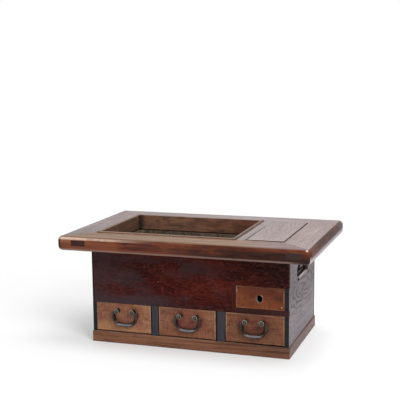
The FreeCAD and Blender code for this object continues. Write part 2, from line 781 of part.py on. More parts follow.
bays = ((inner_left, post_left_start, handle_shift_one), (post_left_end, post_right_start, handle_shift_two),
        (post_right_end, inner_right, handle_shift_three))
for number, (x0, x1, shift) in enumerate(bays, 1):
    x_handle = (x0 + x1) / 2 + shift
    label = "drawer_" + str(number)
    holes = [shank_hole(label + "_hole_left", x_handle - post_offset),
             shank_hole(label + "_hole_right", x_handle + post_offset)]
    drawer_box(label, x0, x1, plinth_height, drawer_top_line, front_raise, holes)
    posts = several(label + "_handle_posts", "Part::Compound", [post_right, post_left])
    bail = several(label + "_bail", "Part::Compound", [bail_whole])
    for piece in (posts, bail):
        place(piece, x_handle, front - pin_stand, handle_height)
        node(piece)

# Small drawer with a bevelled finger hole instead of a handle
finger = named("PartDesign::Body", "finger_hole")
finger_points = rectangle(finger_x - finger_width / 2, finger_x + finger_width / 2,
                          finger_z - finger_height / 2, finger_z + finger_height / 2)
pad(finger, sketch(finger, "finger_outline", "XZ_Plane", -front - front_thick, finger_points), front_thick)
dress(finger, "Fillet", "finger_round", "Radius", finger_round,
      lambda e: abs(e.Vertexes[0].Point.y - e.Vertexes[-1].Point.y) > NEAR)
mouth_points = rectangle(finger_x - finger_width / 2 - finger_bevel, finger_x + finger_width / 2 + finger_bevel,
                         finger_z - finger_height / 2 - finger_bevel,
                         finger_z + finger_height / 2 + finger_bevel)
finger_cone = named("PartDesign::Body", "finger_cone")
pad(finger_cone, sketch(finger_cone, "finger_mouth", "XZ_Plane", -front - finger_bevel, mouth_points),
    finger_bevel)
dress(finger_cone, "Fillet", "finger_mouth_round", "Radius", finger_round + finger_bevel,
      lambda e: abs(e.Vertexes[0].Point.y - e.Vertexes[-1].Point.y) > NEAR)
dress(finger_cone, "Chamfer", "finger_slope", "Size", finger_bevel - finger_bevel / 50,
      lambda e: all(abs(v.Point.y - number_of(front + finger_bevel)) < NEAR for v in e.Vertexes))
drawer_box("small_drawer", small_opening_left, inner_right, deck_top, small_top_line, small_front_raise,
           [finger, finger_cone])

# Check every object, then write one STEP file for each piece
doc.recompute()
problems = []
for obj in doc.Objects:
    if "Invalid" in obj.State or "Error" in obj.State:
        problems.append(obj.Label + " state " + str(obj.State))
    if hasattr(obj, "Shape") and obj.TypeId != "Sketcher::SketchObject" and not obj.TypeId.startswith("App::"):
        if obj.Shape.isNull() or not obj.Shape.isValid():
            problems.append(obj.Label + " shape")
for obj in NODES:
    if obj.Shape.Volume <= 0 or not obj.Shape.Solids:
        problems.append(obj.Label + " has no solid")
if problems:
    raise RuntimeError("; ".join(problems))
os.makedirs("parts", exist_ok=True)
for obj in NODES:
    obj.Shape.exportStep("parts/" + obj.Label + ".step")
print(len(NODES), "pieces written")
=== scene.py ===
"""Visual model of a long brazier chest, dressed over its CAD frame. Metres, +Z up, drawers towards -Y."""
import json
import math

import bpy
from mathutils import Matrix, Vector


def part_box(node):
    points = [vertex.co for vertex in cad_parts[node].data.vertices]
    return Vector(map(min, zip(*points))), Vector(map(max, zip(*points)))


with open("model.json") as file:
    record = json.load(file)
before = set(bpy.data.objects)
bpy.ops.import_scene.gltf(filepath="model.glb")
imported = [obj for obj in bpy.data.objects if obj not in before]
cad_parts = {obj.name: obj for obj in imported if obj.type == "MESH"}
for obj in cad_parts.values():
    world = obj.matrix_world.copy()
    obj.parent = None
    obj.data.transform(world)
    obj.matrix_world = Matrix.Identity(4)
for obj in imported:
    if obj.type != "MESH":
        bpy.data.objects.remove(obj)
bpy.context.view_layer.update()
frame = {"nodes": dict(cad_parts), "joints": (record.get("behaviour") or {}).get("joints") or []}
nodes = frame["nodes"]
MM = 0.001

# Places on the frame that the figures are laid out from, in metres, and the lid's size in millimetres
RIM_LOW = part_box("table_front_rail")[0]
RIM_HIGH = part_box("table_right_rail")[1]
LID_LOW, LID_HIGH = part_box("lid_board")
SIDE_LOW, SIDE_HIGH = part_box("right_side_panel")
LINING_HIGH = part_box("hearth_lining_right")[1]
PANEL_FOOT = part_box("front_panel")[0].z
DRAWER_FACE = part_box("drawer_1_front")[0].y
LID_WIDTH = (LID_HIGH.x - LID_LOW.x) / MM
LID_LENGTH = (LID_HIGH.y - LID_LOW.y) / MM

# Middles of the finger hole and of the rings drawn on the lid and the side panels
FINGER_HOLE = (0.21455, DRAWER_FACE, 0.1673)
LID_RINGS = (0.226, 0.07, LID_HIGH.z)
SIDE_RINGS = (SIDE_HIGH.x, 0, 0.17)


# Node trees
class Tree:
    """A short way to build the nodes of a material or a world."""

    def __init__(self, owner):
        self.owner = owner
        owner.use_nodes = True
        self.tree = owner.node_tree
        self.tree.nodes.clear()

    def feed(self, node, key, value):
        """Set an input to a value or link it to another node's output."""
        if value is None:
            return
        if isinstance(value, bpy.types.NodeSocket):
            self.tree.links.new(value, node.inputs[key])
        else:
            node.inputs[key].default_value = value

    def add(self, kind, settings=None, **inputs):
        """Add a node, with its settings and inputs."""
        node = self.tree.nodes.new("ShaderNode" + kind)
        for key, value in (settings or {}).items():
            setattr(node, key, value)
        for key, value in inputs.items():
            self.feed(node, key.replace("_", " ").title(), value)
        return node

    def math(self, operation, a, b=None, clamp=False):
        """One arithmetic step."""
        node = self.add("Math", {"operation": operation, "use_clamp": clamp})
        self.feed(node, 0, a)
        self.feed(node, 1, b)
        return node.outputs[0]

    def times(self, first, *others):
        """The product of several values."""
        for other in others:
            first = self.math("MULTIPLY", first, other)
        return first

    def plus(self, first, *others):
        """The sum of several values."""
        for other in others:
            first = self.math("ADD", first, other)
        return first

    def most(self, first, *others):
        """The largest of several values."""
        for other in others:
            first = self.math("MAXIMUM", first, other)
        return first

    def minus(self, a, b):
        """What is left of a value without another."""
        return self.math("SUBTRACT", a, b)

    def size(self, value):
        """A value without its sign."""
        return self.math("ABSOLUTE", value)

    def vector(self, operation, a, b=None):
        """One step of vector arithmetic."""
        node = self.add("VectorMath", {"operation": operation})
        self.feed(node, 0, a)
        self.feed(node, 1, b)
        return node.outputs["Value" if operation in ("LENGTH", "DOT_PRODUCT") else "Vector"]

    def axes(self, coord):
        """The X, Y and Z of a place."""
        return self.add("SeparateXYZ", None, vector=coord).outputs

    def offsets(self, coord, start=(0, 0, 0)):
        """Millimetres to the right of a place, behind it and above it."""
        away = self.vector("SUBTRACT", coord, start)
        return self.axes(self.vector("MULTIPLY", away, [1 / MM] * 3))

    def join(self, x=0.0, y=0.0, z=0.0):
        """A place from its X, Y and Z."""
        return self.add("CombineXYZ", None, x=x, y=y, z=z).outputs[0]

    def mix(self, factor, a, b):
        """Colour a, turning into colour b as the factor goes to 1."""
        node = self.add("Mix", {"data_type": "RGBA", "blend_type": "MIX", "clamp_factor": True})
        self.feed(node, 0, factor)
        self.feed(node, 6, a)
        self.feed(node, 7, b)
        return node.outputs[2]

    def noise(self, vector, scale, detail=3.0, rough=0.55):
        """Smooth noise, from about 0.2 to 0.8."""
        node = self.add("TexNoise", None, vector=vector, scale=scale, detail=detail, roughness=rough)
        return node.outputs["Fac"]

    def patches(self, coord, scales, detail=3.0, rough=0.6):
        """Noise with its own scale along each axis, per metre."""
        return self.noise(self.vector("MULTIPLY", coord, scales), 1.0, detail, rough)

    def ramp(self, factor, stops):
        """Map a factor through (position, grey) stops."""
        node = self.add("ValToRGB", None, fac=factor)
        elements = node.color_ramp.elements
        while len(elements) < len(stops):
            elements.new(0.5)
        for element, (position, grey) in zip(elements, stops):
            element.position = position
            element.color = (grey, grey, grey, 1)
        return node.outputs["Color"]

    def remap(self, value, low, high, first=0.0, last=1.0, change="SMOOTHSTEP"):
        """One value at or below low, another at or above high, and a change between them."""
        node = self.add("MapRange", {"interpolation_type": change}, value=value)
        for key, level in (("From Min", low), ("From Max", high), ("To Min", first), ("To Max", last)):
            node.inputs[key].default_value = level
        return node.outputs[0]

    def rise(self, value, low, high):
        """0 below one value and 1 above another, with a smooth change between."""
        return self.remap(value, low, high)

    def fall(self, value, low, high):
        """1 below one value and 0 above another, with a smooth change between."""
        return self.minus(1.0, self.rise(value, low, high))

    def band(self, value, low, high, soft):
        """1 between two values, fading out over a soft margin."""
        return self.times(self.rise(value, low - soft, low), self.fall(value, high, high + soft))

    def spot(self, coord, centre, radius, soft, squash=(1, 1, 1)):
        """1 within a radius of a point, in frame coordinates."""
        away = self.vector("MULTIPLY", self.vector("SUBTRACT", coord, centre), squash)
        return self.fall(self.vector("LENGTH", away), radius, radius + soft)

    def seen_rays(self):
        """1 for rays from the camera, a shine or glass, and 0 for those that only light things."""
        rays = self.add("LightPath").outputs
        return self.most(rays["Is Camera Ray"], rays["Is Glossy Ray"], rays["Is Transmission Ray"])

    def mix_shader(self, factor, a, b):
        """Shader a, turning into shader b as the factor goes to 1."""
        node = self.add("MixShader")
        for key, value in enumerate((factor, a, b)):
            self.feed(node, key, value)
        return node.outputs[0]

    def finish(self, shader, output="OutputMaterial"):
        """Link the shader to the output and return the material or world."""
        self.feed(self.add(output), "Surface", shader)
        return self.owner


def srgb(r, g, b):
    """Linear colour, with alpha, of an 8-bit screen colour."""
    out = []
    for value in (r, g, b):
        c = value / 255
        out.append(c / 12.92 if c <= 0.04045 else ((c + 0.055) / 1.055) ** 2.4)
    return (*out, 1)


def tones(*colours):
    """The dark, middle and light colours of a material."""
    return [srgb(*colour) for colour in colours]


def lay(t, colour, layers):
    """Tint a colour, in order, by layers of (mask, screen colour, strength)."""
    for mask, rgb, strength in layers:
        colour = t.mix(t.times(mask, strength), colour, srgb(*rgb))
    return colour


EDGE_SAMPLES = 6


def edge_mask(t, radius, low, high):
    """1 near worn edges, 0 on flat faces."""
    bevel = t.add("Bevel", {"samples": EDGE_SAMPLES}, radius=radius)
    geometry = t.add("NewGeometry")
    turn = t.vector("DOT_PRODUCT", bevel.outputs["Normal"], geometry.outputs["Normal"])
    return t.ramp(t.minus(1.0, turn), [(low, 0.0), (high, 1.0)])


# Wood: the axes that run along, across and through a board, by the axis of its grain
GRAIN = {"X": ("X", "Y", "Z"), "Y": ("Y", "X", "Z"), "Z": ("Z", "Y", "X")}
SEED_STEP = (0.731, 0.377, 0.519)

# A grain noise is: share that the board's length is squeezed to, scale per metre, detail, roughness
WARP_NOISE = (0.3, 14.0, 2.0, 0.55)
FINE_WARP_NOISE = (0.3, 60.0, 2.0, 0.55)
PATCH_NOISE = (0.3, 9.0, 3.0, 0.6)
FIBRE_NOISE = (0.02, 900.0, 2.0, 0.7)
PORE_NOISE = (0.06, 1100.0, 1.0, 0.5)
STREAK_NOISE = (0.035, 170.0, 3.0, 0.6)

# Growth rings: where the heart line runs, and how far the rings wander
HEART_BESIDE = 0.03
HEART_BELOW = 0.06
HEART_TILT = 0.02
WARP = 5.0
FINE_WARP = 0.7
RING_STOPS = [(0.0, 0.15), (0.55, 0.35), (0.88, 1.0), (0.97, 0.8), (1.0, 0.15)]

# Colour: where noises start and stop to show, and how strongly
FIBRE_STOPS = [(0.35, 0.0), (0.7, 0.55)]
PORE_STOPS = [(0.58, 0.0), (0.68, 1.0)]
PATCH_STOPS = [(0.42, 0.0), (0.68, 1.0)]
RUB_STOPS = [(0.38, 0.1), (0.62, 1.0)]
DARK_STREAK = (0.5, 0.66)
PALE_STREAK = (0.34, 0.48)
DULL_STREAK = (0.48, 0.62)
PALE_SHARE = 0.7
PORE_DARKNESS = 0.5
RUB_SCALE = 90.0
RUB_GAIN = 1.9
RUB_LIFT = 0.02

# Gloss, relief and edges
PATCH_GLOSS = 0.16
PORE_GLOSS = 0.2
PATCH_MIDDLE = 0.08
LATE_RELIEF = 0.35
FIBRE_RELIEF = 0.35
PORE_RELIEF = 0.6
RELIEF_DEPTH = 0.3 * MM
RELIEF_STRENGTH = 0.25
WORN_RADIUS = 1.6 * MM
WORN_TURN = (0.02, 0.25)
SMOOTH_RADIUS = 0.8 * MM
SMOOTH_SAMPLES = 4


def grain_noise(t, parts, share, scale, detail, rough):
    """Noise drawn out along the grain, by squeezing the board's length to a share."""
    return t.noise(t.join(t.times(parts["X"], share), parts["Y"], parts["Z"]), scale, detail, rough)


def growth_rings(t, parts, across, deep, spacing):
    """Late wood of rings round a heart line that runs beside and below the board, gently warped."""
    lean = t.times(parts["X"], HEART_TILT)
    beside = t.plus(across, HEART_BESIDE, lean)
    below = t.plus(deep, HEART_BELOW, lean)
    rings = t.math("DIVIDE", t.vector("LENGTH", t.join(y=beside, z=below)), spacing)
    warp = t.times(grain_noise(t, parts, *WARP_NOISE), WARP)
    fine = t.times(grain_noise(t, parts, *FINE_WARP_NOISE), FINE_WARP)
    return t.ramp(t.math("FRACT", t.plus(rings, warp, fine)), RING_STOPS)


def wood(name, grain, dark, mid, light, seed, spacing, figure=0.5, rough=0.42, coat=0.15,
         coat_rough=0.3, wear=0.35, stain=0.4, ior=1.45, streaks=0.6, dulling=0.25, extra=None):
    """Planed, worn wood: growth rings, fibre, pores, streaks, stains and rubbed edges."""
    t = Tree(bpy.data.materials.new(name))
    coord = t.add("TexCoord").outputs["Object"]
    parts = t.axes(coord)
    along, across, deep = (parts[key] for key in GRAIN[grain])
    parts = t.axes(t.vector("ADD", t.join(along, across, deep), [seed * step for step in SEED_STEP]))
    late = growth_rings(t, parts, across, deep, spacing)
    fibre = grain_noise(t, parts, *FIBRE_NOISE)
    pores = t.ramp(grain_noise(t, parts, *PORE_NOISE), PORE_STOPS)
    patch = grain_noise(t, parts, *PATCH_NOISE)
    streak = grain_noise(t, parts, *STREAK_NOISE)

    # Colour
    colour = t.mix(t.times(late, figure), light, mid)
    colour = t.mix(t.ramp(fibre, FIBRE_STOPS), colour, mid)
    colour = t.mix(t.times(t.rise(streak, *DARK_STREAK), streaks), colour, dark)
    colour = t.mix(t.times(t.fall(streak, *PALE_STREAK), streaks * PALE_SHARE), colour, light)
    colour = t.mix(t.times(t.ramp(patch, PATCH_STOPS), stain), colour, dark)
    colour = t.mix(t.times(pores, PORE_DARKNESS), colour, dark)
    dull = t.times(t.plus(late, t.rise(streak, *DULL_STREAK)), dulling)
    if extra:
        colour, more = extra(t, colour, coord)
        if more is not None:
            dull = t.plus(dull, more)
    rub = t.ramp(t.noise(coord, RUB_SCALE), RUB_STOPS)
    worn = t.times(edge_mask(t, WORN_RADIUS, *WORN_TURN), rub, wear)
    pale = tuple(min(1.0, c * RUB_GAIN + RUB_LIFT) for c in light[:3]) + (1,)
    colour = t.mix(worn, colour, pale)

    # Gloss and relief
    gloss = t.plus(t.times(patch, PATCH_GLOSS), rough - PATCH_MIDDLE, t.times(pores, PORE_GLOSS))
    gloss = t.math("ADD", gloss, dull, clamp=True)
    relief = t.plus(t.times(late, LATE_RELIEF), t.times(fibre, FIBRE_RELIEF))
    relief = t.minus(relief, t.times(pores, PORE_RELIEF))
    smooth = t.add("Bevel", {"samples": SMOOTH_SAMPLES}, radius=SMOOTH_RADIUS).outputs["Normal"]
    bump = t.add("Bump", None, strength=RELIEF_STRENGTH, distance=RELIEF_DEPTH, height=relief, normal=smooth)
    shader = t.add("BsdfPrincipled", None, base_color=colour, roughness=gloss, normal=bump.outputs[0])
    shader.inputs["IOR"].default_value = ior
    shader.inputs["Coat Weight"].default_value = coat
    shader.inputs["Coat Roughness"].default_value = coat_rough
    return t.finish(shader.outputs[0])


# Edges of the boards
EASE_WIDTH = 0.8 * MM
EASE_SEGMENTS = 2
WELD_DISTANCE = 0.01 * MM
SHARP_ANGLE = 50


def put(node_name, material):
    """Give one node of the frame its material."""
    obj = nodes[node_name]
    obj.data.materials.clear()
    obj.data.materials.append(material)


def ease(node_name):
    """Weld a node's facets and round its sharp edges a little."""
    obj = nodes[node_name]
    weld = obj.modifiers.new("weld", "WELD")
    weld.merge_threshold = WELD_DISTANCE
    bevel = obj.modifiers.new("ease", "BEVEL")
    bevel.width = EASE_WIDTH
    bevel.segments = EASE_SEGMENTS
    bevel.limit_method = "ANGLE"
    bevel.angle_limit = math.radians(SHARP_ANGLE)
    bevel.harden_normals = False


# Figures: marks on a board beyond its own grain. Their places are in millimetres from the start that
# offsets() is given, and their noises' scales are per metre. A layer is (mask, screen colour, strength),
# and later layers lie over earlier ones. A figure returns the colour and how much duller the marks are.
# Colour of the painted shade on the rim's left end
END_SHADE = (30, 12, 12)
# Colour of the painted highlight on the rim's right front corner
CORNER_HIGHLIGHT = (228, 208, 192)
# Colour of the painted shadow in the gaps round the lid
GAP_SHADE = (26, 16, 18)
# Place of that painted highlight
CORNER_HIGHLIGHT_PLACE = (RIM_HIGH.x - 13.5 * MM, RIM_LOW.y + 5.95 * MM, RIM_HIGH.z - 3.1 * MM)
RIM_START = (0, RIM_LOW.y, RIM_LOW.z)
LID_TAPER = 0.008
GAP_TAPER = 0.009
FRONT_LEAN = 0.05


def left_end_shade(t, right):
    """1 on the dark end of the rim's left corner, where shade is painted."""
    return t.fall(right, -366.8, -364.0)


def corner_highlight(t, coord):
    """1 on a small painted highlight at the rim's right front corner."""
    return t.spot(coord, CORNER_HIGHLIGHT_PLACE, 1.6 * MM, 2.4 * MM)


def table_front(t, colour, coord):
    """Red-brown nose, near black to the right, with painted highlights on its upper part and its right front
    corner, a painted floor reflection low down, painted shade at its left end, and painted shadow in the gap
    before the lid.
    """
    right, back, up = t.offsets(coord, RIM_START)
    nose = t.fall(back, 2.95, 9.95)
    flat = t.minus(1.0, nose)
    run = t.patches(coord, (5.0, 60.0, 150.0))
    cloud = t.patches(coord, (6.0, 30.0, 60.0), 4.0)
    patch = t.patches(coord, (24.0, 30.0, 60.0))
    right_run = t.times(nose, t.rise(right, -120, 200))
    left_run = t.fall(right, -360, -220)
    # Painted highlight on the upper nose at the left end
    left_nose_highlight = t.times(nose, left_run, t.rise(up, 19.5, 39.5))
    orange = t.times(nose, t.rise(right, 335, 372), t.rise(up, 13.5, 33.5))
    end = left_end_shade(t, right)
    # Painted highlight: a pale line along the top of the nose towards the left
    line = t.times(t.band(up, 35.5, 39, 2), t.fall(right, -300, -60))
    # Painted reflection of the floor on the lower nose
    under = t.times(nose, t.fall(up, 5, 10), t.fall(right, 300, 360))
    fore = t.times(nose, t.rise(up, 10.5, 14.5))
    not_right = t.minus(1.0, t.times(t.rise(right, -50, 250), 0.75))
    warm = t.times(fore, not_right, t.rise(patch, 0.52, 0.64))
    cold = t.times(fore, t.rise(right, -340, -200), t.fall(patch, 0.38, 0.48))
    # Painted shadow in the gap in front of the lid, widening towards the right
    lid_right, lid_back, _ = t.offsets(coord, LID_LOW)
    lean = t.plus(lid_back, t.times(lid_right, FRONT_LEAN))
    gap_shade = t.times(t.rise(lean, -2.8, -1.8), t.band(lid_right, 0, LID_WIDTH, 0.5))
    colour = lay(t, colour, (
        (flat, (120, 100, 78), 0.57),
        (t.times(flat, t.rise(right, 120, 300)), (108, 90, 92), 0.8),
        (nose, (86, 32, 14), 0.8),
        (t.times(nose, t.rise(run, 0.52, 0.64)), (140, 74, 40), 0.5),
        (t.times(nose, t.fall(run, 0.36, 0.46)), (48, 17, 14), 0.6),
        (right_run, (34, 9, 4), 0.9),
        # Painted highlight on the upper nose towards the right
        (t.times(right_run, t.rise(up, 25.5, 36)), (104, 48, 16), 0.8),
        (t.times(right_run, t.rise(cloud, 0.4, 0.6)), (24, 7, 7), 0.6),
        (left_nose_highlight, (190, 138, 104), 0.7),
        (orange, (92, 40, 14), 0.8),
        (end, END_SHADE, 0.92),
        (t.times(nose, t.band(right, -345, -200, 40)), (150, 84, 52), 0.45),
        (line, (236, 212, 194), 0.65),
        (corner_highlight(t, coord), CORNER_HIGHLIGHT, 0.85),
        (under, (150, 124, 114), 0.65),
        (warm, (120, 62, 30), 0.4),
        (cold, (34, 14, 18), 0.4),
        (gap_shade, (20, 12, 12), 0.9)))
    return colour, t.most(t.times(t.most(end, gap_shade), 0.6), t.times(right_run, 0.3))


def table_side(t, colour, coord):
    """Orange-brown nose on the outer side, with a painted floor reflection on its lower part, painted shade
    at the left end and a painted highlight at the front corner; tenon end at the front, and painted shadow
    in the gap beside the lid.
    """
    right, back, up = t.offsets(coord, RIM_START)
    outward = t.minus(t.size(right), RIM_HIGH.x / MM)
    nose = t.rise(outward, -11.5, -8.5)
    cloud = t.patches(coord, (40.0, 7.0, 60.0), 4.0)
    end = left_end_shade(t, right)
    brown = t.times(t.fall(back, 72.45, 242.45), t.fall(right, -100, 100), t.rise(up, 39.5, 42))
    tenon = t.times(t.fall(back, 0.45, 0.95), t.fall(outward, -25, -24.5))
    right_rail = t.rise(right, -100, 100)
    end_grain = t.noise(coord, 900.0, 2.0, 0.6)
    # Painted shadow in the gap beside the lid's right edge
    lid_right, lid_back, _ = t.offsets(coord, (LID_HIGH.x, LID_LOW.y, LID_LOW.z))
    gap = t.fall(t.plus(lid_right, t.times(lid_back, GAP_TAPER)), 3.5, 4.5)
    gap = t.times(gap, t.rise(right, 0, 100), t.band(lid_back, -2, LID_LENGTH, 0.5))
    colour = lay(t, colour, (
        (nose, (72, 30, 12), 0.95),
        (t.times(nose, t.rise(cloud, 0.36, 0.54), t.rise(back, 42.45, 142.45)), (36, 14, 10), 0.9),
        (t.times(nose, t.rise(back, 362.45, 462.45)), (84, 74, 72), 0.7),
        # Painted reflection of the floor on the lower part of the nose
        (t.times(nose, t.fall(up, 11.5, 25.5)), (186, 174, 178), 0.8),
        (end, END_SHADE, 0.92),
        (brown, (60, 44, 38), 0.6),
        (corner_highlight(t, coord), CORNER_HIGHLIGHT, 0.85),
        (tenon, (58, 20, 12), 0.95),
        (t.times(tenon, right_rail), (38, 14, 8), 0.95),
        (t.times(tenon, t.rise(end_grain, 0.45, 0.6)), (22, 7, 4), 0.4),
        (gap, (22, 13, 13), 0.92)))
    matt = t.minus(0.5, t.times(right_rail, 0.35))
    dull = t.most(t.plus(t.times(tenon, matt), t.times(nose, 0.4)), t.times(gap, 0.6))
    return colour, t.plus(dull, t.times(end, 0.3))


def ring_lines(t, coord, centre, squash, warp, swing, spacing, stops):
    """How far a place is from a centre, and lines round the centre, both warped by a noise."""
    flat = t.vector("MULTIPLY", t.vector("SUBTRACT", coord, centre), squash)
    radial = t.plus(t.vector("LENGTH", flat), t.times(warp, swing))
    return radial, t.ramp(t.math("FRACT", t.math("DIVIDE", radial, spacing)), stops)


def lid_figure(t, colour, coord):
    """Nested dark ellipses of a plain-sawn board, painted shadow in the gap at its left, a pale front edge,
    and painted shadow on the lower part of its front face.
    """
    right, back, up = t.offsets(coord, LID_LOW)
    warp = t.noise(coord, 22.0, 3.0, 0.55)
    stops = [(0.0, 0.1), (0.6, 0.2), (0.85, 1.0), (1.0, 0.1)]
    radial, line = ring_lines(t, coord, LID_RINGS, (1.0, 0.3, 0.0), warp, 22 * MM, 10.5 * MM, stops)
    line = t.times(line, t.fall(radial, 50 * MM, 75 * MM))
    taper = t.plus(right, t.times(back, LID_TAPER))
    gap_shade = t.times(t.fall(taper, 3.8, 4.8), t.fall(back, 168.5, 248.5))
    front = t.fall(back, 2.5, 4)
    # Painted shadow on the lower part of the lid's front face
    below = t.fall(up, 14.3, 14.7)
    colour = lay(t, colour, (
        (line, (72, 50, 46), 0.38),
        (gap_shade, GAP_SHADE, 0.85),
        (front, (196, 170, 152), 0.5),
        (t.times(front, below), (24, 14, 12), 0.9)))
    return colour, t.plus(t.times(line, 0.15), t.times(gap_shade, 0.6))


def divider_figure(t, colour, coord):
    """Painted shadow in the gaps beside the lid and along the lining."""
    right, back, _ = t.offsets(coord, LID_LOW)
    taper = t.minus(right, t.times(back, LID_TAPER))
    lid_side = t.times(t.rise(taper, -4.4, -3.4), t.fall(back, 168.5, 248.5))
    # Painted shade along the joint with the lining
    lining_side = t.fall(right, -27.3, -26.0)
    colour = lay(t, colour, ((lid_side, GAP_SHADE, 0.85), (lining_side, (44, 32, 32), 0.8)))
    return colour, t.times(t.most(lid_side, lining_side), 0.6)


def panel_figure(t, colour, coord):
    """Mottled red lacquer: black-red at the right with painted shade below the rim, grey-violet at the left
    with a painted sheen near its foot.
    """
    right, _, up = t.offsets(coord, (0, 0, PANEL_FOOT))
    cloud = t.patches(coord, (9.0, 9.0, 26.0), 5.0, 0.62)
    broad = t.patches(coord, (4.0, 4.0, 9.0), 2.0, 0.5)
    mottle = t.patches(coord, (90.0, 90.0, 190.0), 4.0, 0.7)
    smoke = t.rise(t.patches(coord, (5.0, 5.0, 14.0), 3.0, 0.55), 0.46, 0.6)
    fleck = t.rise(t.noise(coord, 140.0, 1.0, 0.4), 0.71, 0.76)
    return lay(t, colour, (
        (t.rise(cloud, 0.44, 0.62), (92, 30, 12), 0.65),
        (t.rise(broad, 0.48, 0.6), (32, 7, 5), 0.6),
        (t.fall(right, -310, -80), (68, 36, 35), 0.8),
        (t.rise(right, 80, 290), (24, 7, 6), 0.75),
        # Painted shade below the rim
        (t.rise(up, 140, 166), (24, 8, 8), 0.6),
        (t.times(t.fall(up, -2, 28), t.rise(right, -320, 0)), (28, 18, 22), 0.6),
        (t.rise(mottle, 0.5, 0.6), (88, 42, 36), 0.5),
        (t.fall(mottle, 0.4, 0.48), (16, 5, 6), 0.55),
        (t.times(smoke, t.fall(right, 0, 160)), (64, 48, 52), 0.6),
        # Painted sheen near the foot at the left
        (t.times(t.fall(up, 2, 38), t.fall(right, -200, 50)), (62, 52, 58), 0.65),
        (t.fall(right, -295.5, -293.5), (18, 20, 24), 0.8),
        (fleck, (140, 100, 90), 0.5))), None


def side_figure(t, colour, coord):
    """Arches in the middle of a side panel, dark front and rear edges, and a hand hole with painted shade on
    its walls and a painted highlight along its lower edge.
    """
    right, back, up = t.offsets(coord)
    outward = t.minus(t.size(right), SIDE_HIGH.x / MM)
    warp = t.noise(coord, 16.0, 3.0, 0.6)
    stops = [(0.0, 0.05), (0.5, 0.15), (0.82, 1.0), (1.0, 0.05)]
    radial, line = ring_lines(t, coord, SIDE_RINGS, (0.0, 0.36, 1.0), warp, 50 * MM, 14 * MM, stops)
    line = t.times(line, t.plus(t.times(t.fall(radial, 65 * MM, 115 * MM), 0.88), 0.12))
    rear = t.rise(back, SIDE_HIGH.y / MM - 19.75, SIDE_HIGH.y / MM - 9.75)
    face = t.fall(back, SIDE_LOW.y / MM + 0.55, SIDE_LOW.y / MM + 1.55)
    # Painted shade on the hand hole's inner walls
    wall = t.times(t.band(up, 203.5, 250.5, 1), t.band(back, -76, 76, 1), t.fall(outward, -1, -0.2))
    # Painted highlight along the hand hole's lower edge
    bevel = t.times(t.band(up, 199.5, 204.5, 0.4), t.band(back, -60, 66, 4), t.fall(outward, -0.6, -0.3))
    colour = lay(t, colour, (
        (t.fall(up, 60, 150), (100, 88, 96), 0.5),
        (line, (26, 18, 27), 0.85),
        (rear, (24, 18, 20), 0.7),
        (face, (4, 4, 7), 0.97),
        (t.fall(outward, -12.5, -11.5), (84, 64, 52), 0.9),
        (wall, (34, 24, 22), 0.95),
        (bevel, (206, 198, 196), 0.85)))
    return colour, t.plus(t.times(line, 0.22), t.times(face, 0.4))


def finger_rim(t, colour, coord):
    """Pale worn edge of the finger hole, and its grey-green wall."""
    right, back, up = t.offsets(coord, FINGER_HOLE)
    tall = t.most(t.minus(t.size(up), 2.6), 0.0)
    near = t.fall(t.vector("LENGTH", t.join(right, tall)), 10, 10.4)
    return lay(t, colour, (
        (near, (132, 96, 70), 0.6),
        (t.times(near, t.rise(right, 2, 6)), (206, 176, 146), 0.7),
        (t.times(near, t.rise(back, 1.95, 2.35)), (104, 104, 88), 0.95)))


def peg_mark(t, colour, coord, place):
    """Pale end of a peg."""
    return lay(t, colour, ((t.spot(coord, place, 1.3 * MM, 0.6 * MM), (206, 176, 156), 0.9),))


PATCH_SPREAD = 3


def drawer_figure(left, right, foot, top, patches, holed):
    """Orange-brown front with patches, worn pale edges and tool marks, and perhaps a finger hole and peg."""
    red, gold, dark, pale = patches

    def extra(t, colour, coord):
        across, _, up = t.offsets(coord)
        cloud = t.patches(coord, (14.0, 14.0, 34.0), 4.0)
        tick = t.patches(coord, (260.0, 90.0, 90.0))
        shift = (left * PATCH_SPREAD * MM, 0, foot * MM)
        broad = t.noise(t.vector("ADD", coord, shift), 17.0, 2.0, 0.5)
        inside = t.times(t.band(across, left + 4, right - 4, 3), t.band(up, foot + 4, top - 4, 3))
        rub = t.times(t.minus(1.0, inside), t.rise(cloud, 0.36, 0.56))
        middle = ((left + right) / 2 * MM, DRAWER_FACE, (foot + 62) * MM)
        low = t.times(t.fall(up, foot + 12, foot + 42), t.rise(cloud, 0.34, 0.5))
        dusk = t.minus(1.0, t.band(up, foot - 10, top - 14, 14))
        colour = lay(t, colour, (
            (t.rise(broad, 0.5, 0.62), red, 0.7),
            (t.fall(broad, 0.38, 0.47), gold, 0.65),
            (t.rise(cloud, 0.54, 0.68), dark, 0.6),
            (t.fall(cloud, 0.34, 0.44), pale, 0.5),
            (rub, (188, 146, 112), 0.65),
            (t.spot(coord, middle, 14 * MM, 30 * MM, (0.5, 1, 1)), red, 0.6),
            (low, gold, 0.62),
            (t.rise(tick, 0.56, 0.66), dark, 0.5),
            (t.fall(tick, 0.36, 0.44), pale, 0.3),
            (dusk, (84, 48, 34), 0.35)))
        if holed:
            colour = finger_rim(t, colour, coord)
            colour = peg_mark(t, colour, coord, ((right - 8) * MM, DRAWER_FACE, (foot + 9) * MM))
        return colour, None
    return extra


